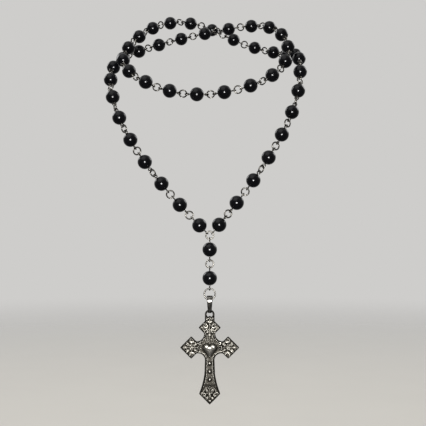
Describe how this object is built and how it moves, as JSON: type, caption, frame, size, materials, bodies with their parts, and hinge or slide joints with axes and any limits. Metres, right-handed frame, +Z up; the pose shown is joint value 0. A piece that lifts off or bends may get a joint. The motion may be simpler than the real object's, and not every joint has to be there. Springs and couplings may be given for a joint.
{
  "type": "rosary",
  "caption": "Rosary of round black beads on wire links, worn doubled: a choker turn, a long V, and a short drop with a silver cross.",
  "frame": {"origin": "middle of the neck that the rosary is worn on, level with the sides of the choker turn", "axes": "+Z up, -Y towards the front of the wearer, +X to the viewer's right"},
  "size_m": [0.1189, 0.1102, 0.2314],
  "materials": {
    "beads": "polished black glass, opaque",
    "wire": "bright drawn stainless wire, lightly tarnished",
    "bail": "polished stamped strip",
    "crucifix": "cast zinc, antique silver plate, blackened recesses"
  },
  "bodies": {
    "neck_wrap": {"choker_eye_pins": "wire", "choker_rings": "wire", "inner_nape_beads": "beads", "inner_nape_eye_pins": "wire", "inner_nape_rings": "wire", "outer_nape_beads": "beads", "outer_nape_eye_pins": "wire", "outer_nape_rings": "wire"},
    "right_link_1": {"right_link_1": "wire"},
    "right_bead_1": {"right_bead_1": "beads"},
    "left_link_1": {"left_link_1": "wire"},
    "left_bead_1": {"left_bead_1": "beads"},
    "right_link_2": {"right_link_2": "wire"},
    "right_bead_2": {"right_bead_2": "beads"},
    "left_link_2": {"left_link_2": "wire"},
    "left_bead_2": {"left_bead_2": "beads"},
    "right_link_3": {"right_link_3": "wire"},
    "right_bead_3": {"right_bead_3": "beads"},
    "left_link_3": {"left_link_3": "wire"},
    "left_bead_3": {"left_bead_3": "beads"},
    "right_link_4": {"right_link_4": "wire"},
    "right_bead_4": {"right_bead_4": "beads"},
    "left_link_4": {"left_link_4": "wire"},
    "left_bead_4": {"left_bead_4": "beads"},
    "right_link_5": {"right_link_5": "wire"},
    "right_bead_5": {"right_bead_5": "beads"},
    "left_link_5": {"left_link_5": "wire"},
    "left_bead_5": {"left_bead_5": "beads"},
    "right_link_6": {"right_link_6": "wire"},
    "right_bead_6": {"right_bead_6": "beads"},
    "left_link_6": {"left_link_6": "wire"},
    "left_bead_6": {"left_bead_6": "beads"},
    "right_link_7": {"right_link_7": "wire"},
    "right_bead_7": {"right_bead_7": "beads"},
    "left_link_7": {"left_link_7": "wire"},
    "left_bead_7": {"left_bead_7": "beads"},
    "right_link_8": {"right_link_8": "wire"},
    "right_bead_8": {"right_bead_8": "beads"},
    "left_link_8": {"left_link_8": "wire"},
    "left_bead_8": {"left_bead_8": "beads"},
    "choker_bead_11": {"choker_bead_11": "beads"},
    "choker_bead_10": {"choker_bead_10": "beads"},
    "choker_bead_9": {"choker_bead_9": "beads"},
    "choker_bead_8": {"choker_bead_8": "beads"},
    "choker_bead_7": {"choker_bead_7": "beads"},
    "choker_bead_6": {"choker_bead_6": "beads"},
    "choker_bead_5": {"choker_bead_5": "beads"},
    "choker_bead_4": {"choker_bead_4": "beads"},
    "choker_bead_3": {"choker_bead_3": "beads"},
    "choker_bead_2": {"choker_bead_2": "beads"},
    "choker_bead_1": {"choker_bead_1": "beads"},
    "v_ring": {"v_ring": "wire"},
    "drop_link_1": {"drop_eye_pin_1": "wire"},
    "drop_bead_1": {"drop_bead_1": "beads"},
    "drop_ring": {"drop_ring": "wire"},
    "drop_link_2": {"drop_eye_pin_2": "wire"},
    "drop_bead_2": {"drop_bead_2": "beads"},
    "crucifix_ring": {"crucifix_ring": "wire"},
    "bail": {"bail": "bail"},
    "crucifix": {"crucifix": "crucifix"}
  },
  "joints": [
    {"name": "fold_1", "type": "hinge", "parent": "neck_wrap", "child": "right_link_1", "pos_m": [0.0552, -0.01706, -0.00892], "axis": [-0.9989, 0.0052, -0.046], "range_deg": [0, 15]},
    {"name": "left_fold_1", "type": "hinge", "parent": "neck_wrap", "child": "left_link_1", "pos_m": [-0.0561, -0.01647, -0.01405], "axis": [-0.9989, 0.0052, -0.046], "range_deg": [0, 15]},
    {"name": "fold_2", "type": "hinge", "parent": "right_link_1", "child": "right_link_2", "pos_m": [0.05397, -0.02712, -0.02079], "axis": [-0.9993, -0.0063, -0.0356], "range_deg": [0, 15]},
    {"name": "left_fold_2", "type": "hinge", "parent": "left_link_1", "child": "left_link_2", "pos_m": [-0.05466, -0.02781, -0.02467], "axis": [-0.9993, -0.0063, -0.0356], "range_deg": [0, 15]},
    {"name": "fold_3", "type": "hinge", "parent": "right_link_2", "child": "right_link_3", "pos_m": [0.05059, -0.03523, -0.0337], "axis": [-0.9994, -0.0128, -0.0331], "range_deg": [0, 15]},
    {"name": "left_fold_3", "type": "hinge", "parent": "left_link_2", "child": "left_link_3", "pos_m": [-0.05096, -0.03653, -0.03707], "axis": [-0.9994, -0.0128, -0.0331], "range_deg": [0, 15]},
    {"name": "fold_4", "type": "hinge", "parent": "right_link_3", "child": "right_link_4", "pos_m": [0.04504, -0.04162, -0.04684], "axis": [-0.9993, -0.0138, -0.0353], "range_deg": [0, 15]},
    {"name": "left_fold_4", "type": "hinge", "parent": "left_link_3", "child": "left_link_4", "pos_m": [-0.04495, -0.04286, -0.05002], "axis": [-0.9993, -0.0138, -0.0353], "range_deg": [0, 15]},
    {"name": "fold_5", "type": "hinge", "parent": "right_link_4", "child": "right_link_5", "pos_m": [0.03788, -0.04609, -0.06], "axis": [-0.9992, -0.0162, -0.0371], "range_deg": [0, 15]},
    {"name": "left_fold_5", "type": "hinge", "parent": "left_link_4", "child": "left_link_5", "pos_m": [-0.03708, -0.04731, -0.06278], "axis": [-0.9992, -0.0162, -0.0371], "range_deg": [0, 15]},
    {"name": "fold_6", "type": "hinge", "parent": "right_link_5", "child": "right_link_6", "pos_m": [0.02959, -0.04903, -0.07293], "axis": [-0.9989, -0.027, -0.0374], "range_deg": [0, 15]},
    {"name": "left_fold_6", "type": "hinge", "parent": "left_link_5", "child": "left_link_6", "pos_m": [-0.02801, -0.05059, -0.07509], "axis": [-0.9989, -0.027, -0.0374], "range_deg": [0, 15]},
    {"name": "fold_7", "type": "hinge", "parent": "right_link_6", "child": "right_link_7", "pos_m": [0.02053, -0.05125, -0.08549], "axis": [-0.9983, -0.0457, -0.037], "range_deg": [0, 15]},
    {"name": "left_fold_7", "type": "hinge", "parent": "left_link_6", "child": "left_link_7", "pos_m": [-0.01807, -0.05302, -0.08692], "axis": [-0.9983, -0.0457, -0.037], "range_deg": [0, 15]},
    {"name": "fold_8", "type": "hinge", "parent": "right_link_7", "child": "right_link_8", "pos_m": [0.01097, -0.05341, -0.09768], "axis": [-0.9974, -0.0639, -0.0339], "range_deg": [0, 15]},
    {"name": "left_fold_8", "type": "hinge", "parent": "left_link_7", "child": "left_link_8", "pos_m": [-0.00747, -0.0546, -0.09831], "axis": [-0.9974, -0.0639, -0.0339], "range_deg": [0, 15]},
    {"name": "v_ring_rock", "type": "hinge", "parent": "right_link_8", "child": "v_ring", "pos_m": [0.0038, -0.0553, -0.1064], "axis": [-1, 0, 0], "range_deg": [-30, 30]},
    {"name": "drop_link_1_swing", "type": "hinge", "parent": "v_ring", "child": "drop_link_1", "pos_m": [0.0022, -0.0553, -0.10986], "axis": [-1, 0, 0], "range_deg": [-45, 45]},
    {"name": "drop_ring_sway", "type": "hinge", "parent": "drop_link_1", "child": "drop_ring", "pos_m": [0.0022, -0.0553, -0.12213], "axis": [0, 1, 0], "range_deg": [-45, 45]},
    {"name": "drop_link_2_swing", "type": "hinge", "parent": "drop_ring", "child": "drop_link_2", "pos_m": [0.0022, -0.0553, -0.12551], "axis": [1, 0, 0], "range_deg": [-45, 45]},
    {"name": "crucifix_ring_sway", "type": "hinge", "parent": "drop_link_2", "child": "crucifix_ring", "pos_m": [0.0022, -0.0553, -0.13778], "axis": [0, -1, 0], "range_deg": [-45, 45]},
    {"name": "bail_swing", "type": "hinge", "parent": "crucifix_ring", "child": "bail", "pos_m": [0.0022, -0.0553, -0.14295], "axis": [-1, 0, 0], "range_deg": [-45, 45]},
    {"name": "crucifix_swing", "type": "hinge", "parent": "bail", "child": "crucifix", "pos_m": [0.0022, -0.0553, -0.14895], "axis": [1, 0, 0], "range_deg": [-45, 45]},
    {"name": "spin_left_bead_1", "type": "hinge", "parent": "left_link_1", "child": "left_bead_1", "pos_m": [-0.05569, -0.02075, -0.01781], "axis": [-0.0728, 0.7482, 0.6595], "continuous": true},
    {"name": "spin_left_bead_2", "type": "hinge", "parent": "left_link_2", "child": "left_bead_2", "pos_m": [-0.05342, -0.03112, -0.02915], "axis": [-0.2175, 0.5798, 0.7852], "continuous": true},
    {"name": "spin_left_bead_3", "type": "hinge", "parent": "left_link_3", "child": "left_bead_3", "pos_m": [-0.04887, -0.03895, -0.04181], "axis": [-0.3655, 0.4238, 0.8288], "continuous": true},
    {"name": "spin_left_bead_4", "type": "hinge", "parent": "left_link_4", "child": "left_bead_4", "pos_m": [-0.04214, -0.04456, -0.05471], "axis": [-0.491, 0.2969, 0.819], "continuous": true},
    {"name": "spin_left_bead_5", "type": "hinge", "parent": "left_link_5", "child": "left_bead_5", "pos_m": [-0.03381, -0.04855, -0.0673], "axis": [-0.5719, 0.2173, 0.791], "continuous": true},
    {"name": "spin_left_bead_6", "type": "hinge", "parent": "left_link_6", "child": "left_bead_6", "pos_m": [-0.02441, -0.05152, -0.07944], "axis": [-0.6287, 0.1625, 0.7605], "continuous": true},
    {"name": "spin_left_bead_7", "type": "hinge", "parent": "left_link_7", "child": "left_bead_7", "pos_m": [-0.01422, -0.05363, -0.09111], "axis": [-0.6732, 0.1076, 0.7316], "continuous": true},
    {"name": "spin_left_bead_8", "type": "hinge", "parent": "left_link_8", "child": "left_bead_8", "pos_m": [-0.00343, -0.05495, -0.10236], "axis": [-0.7047, 0.0616, 0.7068], "continuous": true},
    {"name": "spin_right_bead_1", "type": "hinge", "parent": "right_link_1", "child": "right_bead_1", "pos_m": [0.05484, -0.02086, -0.01317], "axis": [-0.0631, -0.6656, -0.7437], "continuous": true},
    {"name": "spin_right_bead_2", "type": "hinge", "parent": "right_link_2", "child": "right_bead_2", "pos_m": [0.05285, -0.03016, -0.0255], "axis": [-0.196, -0.5328, -0.8232], "continuous": true},
    {"name": "spin_right_bead_3", "type": "hinge", "parent": "right_link_3", "child": "right_bead_3", "pos_m": [0.04865, -0.03766, -0.03851], "axis": [-0.3388, -0.4247, -0.8395], "continuous": true},
    {"name": "spin_right_bead_4", "type": "hinge", "parent": "right_link_4", "child": "right_bead_4", "pos_m": [0.04249, -0.04335, -0.05166], "axis": [-0.447, -0.3018, -0.8421], "continuous": true},
    {"name": "spin_right_bead_5", "type": "hinge", "parent": "right_link_5", "child": "right_bead_5", "pos_m": [0.03489, -0.04722, -0.06474], "axis": [-0.5222, -0.1972, -0.8297], "continuous": true},
    {"name": "spin_right_bead_6", "type": "hinge", "parent": "right_link_6", "child": "right_bead_6", "pos_m": [0.02631, -0.04986, -0.07754], "axis": [-0.5738, -0.1442, -0.8062], "continuous": true},
    {"name": "spin_right_bead_7", "type": "hinge", "parent": "right_link_7", "child": "right_bead_7", "pos_m": [0.01705, -0.05203, -0.08997], "axis": [-0.6079, -0.1359, -0.7823], "continuous": true},
    {"name": "spin_right_bead_8", "type": "hinge", "parent": "right_link_8", "child": "right_bead_8", "pos_m": [0.00739, -0.05436, -0.10204], "axis": [-0.6267, -0.1648, -0.7617], "continuous": true},
    {"name": "spin_choker_bead_11", "type": "hinge", "parent": "neck_wrap", "child": "choker_bead_11", "pos_m": [0.04842, -0.01161, 0.00302], "axis": [0.0404, -0.7469, -0.6637], "continuous": true},
    {"name": "spin_choker_bead_10", "type": "hinge", "parent": "neck_wrap", "child": "choker_bead_10", "pos_m": [0.04604, -0.02269, -0.00738], "axis": [-0.3439, -0.668, -0.6599], "continuous": true},
    {"name": "spin_choker_bead_9", "type": "hinge", "parent": "neck_wrap", "child": "choker_bead_9", "pos_m": [0.03793, -0.03176, -0.01673], "axis": [-0.6949, -0.4858, -0.5302], "continuous": true},
    {"name": "spin_choker_bead_8", "type": "hinge", "parent": "neck_wrap", "child": "choker_bead_8", "pos_m": [0.02527, -0.03734, -0.02348], "axis": [-0.9128, -0.2305, -0.337], "continuous": true},
    {"name": "spin_choker_bead_7", "type": "hinge", "parent": "neck_wrap", "child": "choker_bead_7", "pos_m": [0.01039, -0.03923, -0.02745], "axis": [-0.985, -0.0218, -0.1712], "continuous": true},
    {"name": "spin_choker_bead_6", "type": "hinge", "parent": "neck_wrap", "child": "choker_bead_6", "pos_m": [-0.00514, -0.03926, -0.02867], "axis": [-0.9998, 0.0072, 0.0173], "continuous": true},
    {"name": "spin_choker_bead_5", "type": "hinge", "parent": "neck_wrap", "child": "choker_bead_5", "pos_m": [-0.02049, -0.03835, -0.02657], "axis": [-0.9586, 0.1255, 0.2554], "continuous": true},
    {"name": "spin_choker_bead_4", "type": "hinge", "parent": "neck_wrap", "child": "choker_bead_4", "pos_m": [-0.03431, -0.03438, -0.02102], "axis": [-0.8044, 0.3921, 0.4464], "continuous": true},
    {"name": "spin_choker_bead_3", "type": "hinge", "parent": "neck_wrap", "child": "choker_bead_3", "pos_m": [-0.04455, -0.02575, -0.01359], "axis": [-0.497, 0.7101, 0.4988], "continuous": true},
    {"name": "spin_choker_bead_2", "type": "hinge", "parent": "neck_wrap", "child": "choker_bead_2", "pos_m": [-0.04902, -0.01373, -0.00526], "axis": [-0.0667, 0.8126, 0.579], "continuous": true},
    {"name": "spin_choker_bead_1", "type": "hinge", "parent": "neck_wrap", "child": "choker_bead_1", "pos_m": [-0.04697, -0.00167, 0.00409], "axis": [0.3025, 0.7355, 0.6062], "continuous": true},
    {"name": "spin_drop_bead_1", "type": "hinge", "parent": "drop_link_1", "child": "drop_bead_1", "pos_m": [0.0022, -0.0553, -0.11558], "axis": [0, 0, 1], "continuous": true},
    {"name": "spin_drop_bead_2", "type": "hinge", "parent": "drop_link_2", "child": "drop_bead_2", "pos_m": [0.0022, -0.0553, -0.13123], "axis": [0, 0, 1], "continuous": true}
  ],
  "couplings": [
    {"joint": "left_fold_1", "follows": "fold_1", "ratio": 1},
    {"joint": "left_fold_2", "follows": "fold_2", "ratio": 1},
    {"joint": "left_fold_3", "follows": "fold_3", "ratio": 1},
    {"joint": "left_fold_4", "follows": "fold_4", "ratio": 1},
    {"joint": "left_fold_5", "follows": "fold_5", "ratio": 1},
    {"joint": "left_fold_6", "follows": "fold_6", "ratio": 1},
    {"joint": "left_fold_7", "follows": "fold_7", "ratio": 1},
    {"joint": "left_fold_8", "follows": "fold_8", "ratio": 1}
  ]
}
